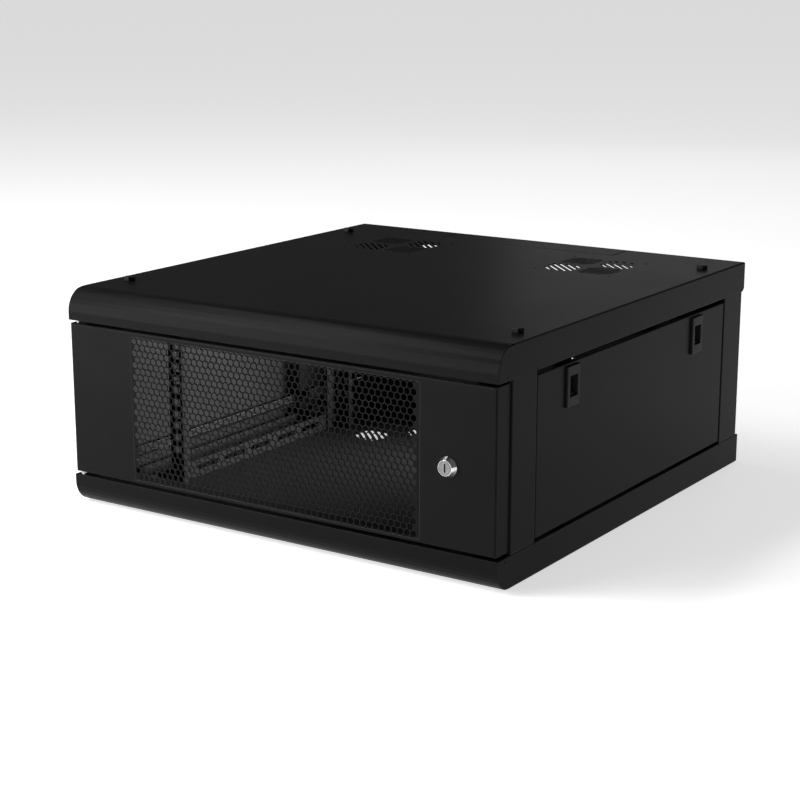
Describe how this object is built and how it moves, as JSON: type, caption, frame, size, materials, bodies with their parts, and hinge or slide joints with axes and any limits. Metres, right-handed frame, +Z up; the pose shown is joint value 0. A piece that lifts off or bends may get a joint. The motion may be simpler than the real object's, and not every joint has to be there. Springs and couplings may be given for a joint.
{
  "type": "network server rack cabinet",
  "caption": "Low wall-mount network cabinet: folded steel case with bullnose cover and base, perforated locking door, removable latched side panels and inner rack rails.",
  "frame": {"origin": "middle of the base's underside, on the surface it stands on", "axes": "+Z up, -Y towards the door at the front, +X to the right seen from the front"},
  "size_m": [0.6048, 0.6285, 0.273],
  "materials": {
    "powder_coat": "fine-textured satin black powder coat",
    "chrome": "bright chrome",
    "satin_nickel": "satin nickel",
    "zinc_plate": "bright zinc plate",
    "spring_steel": "drawn wire",
    "black_bolt": "black-passivated steel",
    "latch_plastic": "moulded black plastic, fine grain",
    "nylon": "natural nylon",
    "rubber": "matt black rubber"
  },
  "bodies": {
    "cabinet": {"back_frame": "powder_coat", "back_frame_screws": "zinc_plate", "base_nuts": "zinc_plate", "base_pan": "powder_coat", "base_studs": "zinc_plate", "door_buffers": "rubber", "earth_nut": "zinc_plate", "earth_stud": "zinc_plate", "front_post_left": "powder_coat", "front_post_right": "powder_coat", "hinge_pin_lower": "zinc_plate", "lower_depth_beam_left": "powder_coat", "lower_depth_beam_right": "powder_coat", "rack_rail_front_left": "powder_coat", "rack_rail_front_right": "powder_coat", "rack_rail_rear_left": "powder_coat", "rack_rail_rear_right": "powder_coat", "rail_bolts": "zinc_plate", "rail_nuts": "zinc_plate", "rear_post_left": "powder_coat", "rear_post_right": "powder_coat", "top_bolts": "black_bolt", "top_cover": "powder_coat", "top_nuts": "zinc_plate", "upper_depth_beam_left": "powder_coat", "upper_depth_beam_right": "powder_coat"},
    "door": {"door_shell": "powder_coat", "door_grille": "powder_coat", "door_stiffener_left": "powder_coat", "door_stiffener_right": "powder_coat", "hinge_bush": "nylon", "hinge_bracket": "powder_coat", "lock_housing": "chrome", "lock_nut": "zinc_plate", "hinge_spring": "spring_steel"},
    "hinge_pin": {"hinge_pin_upper": "zinc_plate"},
    "lock": {"lock_plug": "satin_nickel", "lock_cam": "zinc_plate", "cam_screw": "zinc_plate"},
    "panel_right": {"side_panel_right": "powder_coat", "latch_bezel_front_right": "latch_plastic", "latch_bezel_rear_right": "latch_plastic"},
    "panel_left": {"side_panel_left": "powder_coat", "latch_bezel_front_left": "latch_plastic", "latch_bezel_rear_left": "latch_plastic"},
    "latch_front_right": {"latch_slider_front_right": "latch_plastic"},
    "latch_rear_right": {"latch_slider_rear_right": "latch_plastic"},
    "latch_front_left": {"latch_slider_front_left": "latch_plastic"},
    "latch_rear_left": {"latch_slider_rear_left": "latch_plastic"}
  },
  "joints": [
    {"name": "door_hinge", "type": "hinge", "parent": "cabinet", "child": "door", "pos_m": [-0.2905, -0.304, 0.134], "axis": [0, 0, -1], "range_deg": [0, 180]},
    {"name": "lock_turn", "type": "hinge", "parent": "door", "child": "lock", "pos_m": [0.2387, -0.311, 0.1326], "axis": [0, -1, 0], "range_deg": [0, 90]},
    {"name": "hinge_pin_pull", "type": "slide", "parent": "door", "child": "hinge_pin", "axis": [0, 0, -1], "range_m": [0, 0.008], "stiffness_N_per_m": 300, "springref_m": -0.01, "deforming": ["hinge_spring"]},
    {"name": "panel_right_out", "type": "slide", "parent": "cabinet", "child": "panel_right", "axis": [1, 0, 0], "range_m": [0, 0.25]},
    {"name": "panel_left_out", "type": "slide", "parent": "cabinet", "child": "panel_left", "axis": [-1, 0, 0], "range_m": [0, 0.25]},
    {"name": "latch_front_right_lift", "type": "slide", "parent": "panel_right", "child": "latch_front_right", "axis": [0, 0, 1], "range_m": [0, 0.005]},
    {"name": "latch_rear_right_lift", "type": "slide", "parent": "panel_right", "child": "latch_rear_right", "axis": [0, 0, 1], "range_m": [0, 0.005]},
    {"name": "latch_front_left_lift", "type": "slide", "parent": "panel_left", "child": "latch_front_left", "axis": [0, 0, 1], "range_m": [0, 0.005]},
    {"name": "latch_rear_left_lift", "type": "slide", "parent": "panel_left", "child": "latch_rear_left", "axis": [0, 0, 1], "range_m": [0, 0.005]}
  ]
}
